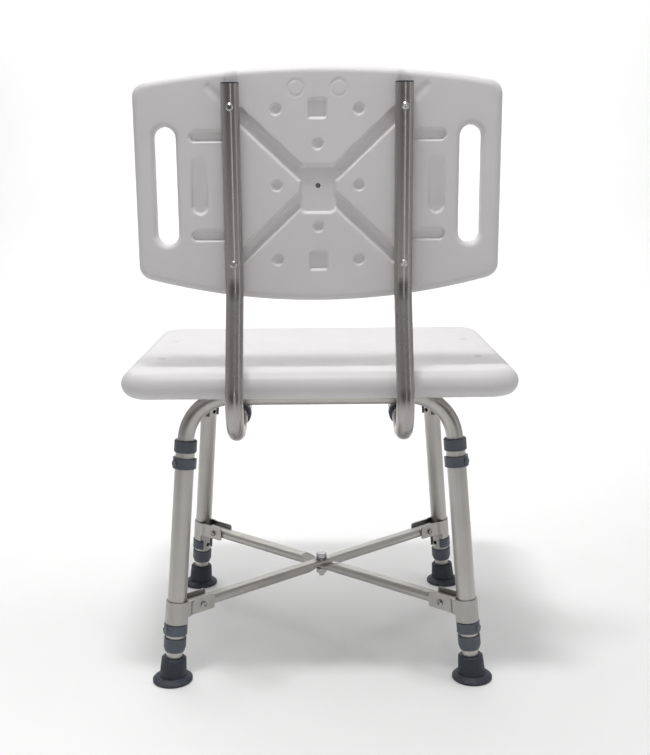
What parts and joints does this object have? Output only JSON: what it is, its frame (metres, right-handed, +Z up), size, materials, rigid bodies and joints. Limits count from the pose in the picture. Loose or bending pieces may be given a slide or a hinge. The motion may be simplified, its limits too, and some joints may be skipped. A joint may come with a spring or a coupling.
{
  "type": "shower bench with back",
  "caption": "Shower and bath transfer seat with a moulded seat, a pull-out back on bent tubes, splayed telescoping legs with clip locks, rubber tips and a crossed brace.",
  "frame": {"origin": "on the floor at the middle of the four feet's footprint, legs at their shortest", "axes": "+Z up; -Y is the front, the way the sitter faces; +X is the sitter's left"},
  "size_m": [0.508, 0.448, 0.7974],
  "materials": {
    "light_grey_plastic": "fine-grained warm light grey polyethylene, blow moulded",
    "bright_tube": "bright drawn aluminium tube, faint lengthwise lines",
    "anodised_tube": "satin anodised aluminium tube",
    "anodised_bar": "satin anodised flat oval-edged aluminium tube",
    "sheet_metal": "satin anodised bent sheet",
    "dark_plastic": "slate grey moulded nylon",
    "clip_plastic": "slate blue-grey springy plastic, slightly glossy",
    "dark_rubber": "dark grey moulded rubber",
    "steel_fasteners": "bright zinc-plated steel",
    "spring_steel": "plain spring steel with a plated button"
  },
  "bodies": {
    "frame": {"seat": "light_grey_plastic", "socket_bushing_left": "dark_plastic", "socket_bushing_right": "dark_plastic", "socket_end_plugs": "dark_plastic", "socket_tube_left": "anodised_tube", "socket_tube_right": "anodised_tube", "leg_frame_rear": "anodised_tube", "leg_frame_front": "anodised_tube", "leg_tube_rear_left": "anodised_tube", "upper_bushing_rear_left": "dark_plastic", "lower_bushing_rear_left": "dark_plastic", "brace_clamp_rear_left": "sheet_metal", "leg_tube_rear_right": "anodised_tube", "upper_bushing_rear_right": "dark_plastic", "lower_bushing_rear_right": "dark_plastic", "brace_clamp_rear_right": "sheet_metal", "leg_tube_front_left": "anodised_tube", "upper_bushing_front_left": "dark_plastic", "lower_bushing_front_left": "dark_plastic", "brace_clamp_front_left": "sheet_metal", "leg_tube_front_right": "anodised_tube", "upper_bushing_front_right": "dark_plastic", "lower_bushing_front_right": "dark_plastic", "brace_clamp_front_right": "sheet_metal", "brace_tube_upper": "anodised_bar", "brace_tube_lower": "anodised_bar", "brace_bolt": "steel_fasteners", "brace_nut": "steel_fasteners", "clamp_screws": "steel_fasteners", "clamp_nuts": "steel_fasteners"},
    "extension_rear_left": {"leg_extension_rear_left": "anodised_tube", "foot_tip_rear_left": "dark_rubber"},
    "upper_lock_rear_left": {"upper_clip_rear_left": "clip_plastic"},
    "lower_lock_rear_left": {"lower_clip_rear_left": "clip_plastic"},
    "extension_rear_right": {"leg_extension_rear_right": "anodised_tube", "foot_tip_rear_right": "dark_rubber"},
    "upper_lock_rear_right": {"upper_clip_rear_right": "clip_plastic"},
    "lower_lock_rear_right": {"lower_clip_rear_right": "clip_plastic"},
    "extension_front_left": {"leg_extension_front_left": "anodised_tube", "foot_tip_front_left": "dark_rubber"},
    "upper_lock_front_left": {"upper_clip_front_left": "clip_plastic"},
    "lower_lock_front_left": {"lower_clip_front_left": "clip_plastic"},
    "extension_front_right": {"leg_extension_front_right": "anodised_tube", "foot_tip_front_right": "dark_rubber"},
    "upper_lock_front_right": {"upper_clip_front_right": "clip_plastic"},
    "lower_lock_front_right": {"lower_clip_front_right": "clip_plastic"},
    "back": {"backrest": "light_grey_plastic", "back_tube_left": "bright_tube", "back_tube_right": "bright_tube", "back_tube_caps": "dark_plastic", "backrest_screws": "steel_fasteners"},
    "button_left": {"snap_button_left": "spring_steel"},
    "button_right": {"snap_button_right": "spring_steel"}
  },
  "joints": [
    {"name": "leg_length_rear_left", "type": "slide", "parent": "frame", "child": "extension_rear_left", "axis": [0.0797, 0.051, -0.9955], "range_m": [0, 0.127]},
    {"name": "upper_clip_pull_rear_left", "type": "slide", "parent": "frame", "child": "upper_lock_rear_left", "axis": [0.76, 0.6431, 0.0938], "range_m": [0, 0.032], "deforming": ["upper_clip_rear_left"]},
    {"name": "lower_clip_pull_rear_left", "type": "slide", "parent": "frame", "child": "lower_lock_rear_left", "axis": [0.76, 0.6431, 0.0938], "range_m": [0, 0.032], "deforming": ["lower_clip_rear_left"]},
    {"name": "leg_length_rear_right", "type": "slide", "parent": "frame", "child": "extension_rear_right", "axis": [-0.0797, 0.051, -0.9955], "range_m": [0, 0.127]},
    {"name": "upper_clip_pull_rear_right", "type": "slide", "parent": "frame", "child": "upper_lock_rear_right", "axis": [-0.76, 0.6431, 0.0938], "range_m": [0, 0.032], "deforming": ["upper_clip_rear_right"]},
    {"name": "lower_clip_pull_rear_right", "type": "slide", "parent": "frame", "child": "lower_lock_rear_right", "axis": [-0.76, 0.6431, 0.0938], "range_m": [0, 0.032], "deforming": ["lower_clip_rear_right"]},
    {"name": "leg_length_front_left", "type": "slide", "parent": "frame", "child": "extension_front_left", "axis": [0.0797, -0.051, -0.9955], "range_m": [0, 0.127]},
    {"name": "upper_clip_pull_front_left", "type": "slide", "parent": "frame", "child": "upper_lock_front_left", "axis": [0.76, -0.6431, 0.0938], "range_m": [0, 0.032], "deforming": ["upper_clip_front_left"]},
    {"name": "lower_clip_pull_front_left", "type": "slide", "parent": "frame", "child": "lower_lock_front_left", "axis": [0.76, -0.6431, 0.0938], "range_m": [0, 0.032], "deforming": ["lower_clip_front_left"]},
    {"name": "leg_length_front_right", "type": "slide", "parent": "frame", "child": "extension_front_right", "axis": [-0.0797, -0.051, -0.9955], "range_m": [0, 0.127]},
    {"name": "upper_clip_pull_front_right", "type": "slide", "parent": "frame", "child": "upper_lock_front_right", "axis": [-0.76, -0.6431, 0.0938], "range_m": [0, 0.032], "deforming": ["upper_clip_front_right"]},
    {"name": "lower_clip_pull_front_right", "type": "slide", "parent": "frame", "child": "lower_lock_front_right", "axis": [-0.76, -0.6431, 0.0938], "range_m": [0, 0.032], "deforming": ["lower_clip_front_right"]},
    {"name": "back_pull_out", "type": "slide", "parent": "frame", "child": "back", "axis": [0, 1, 0], "range_m": [0, 0.13]},
    {"name": "button_press_left", "type": "slide", "parent": "back", "child": "button_left", "axis": [0, 0, 1], "range_m": [0, 0.005], "stiffness_N_per_m": 800, "springref_m": -0.003, "deforming": ["snap_button_left"]},
    {"name": "button_press_right", "type": "slide", "parent": "back", "child": "button_right", "axis": [0, 0, 1], "range_m": [0, 0.005], "stiffness_N_per_m": 800, "springref_m": -0.003, "deforming": ["snap_button_right"]}
  ]
}
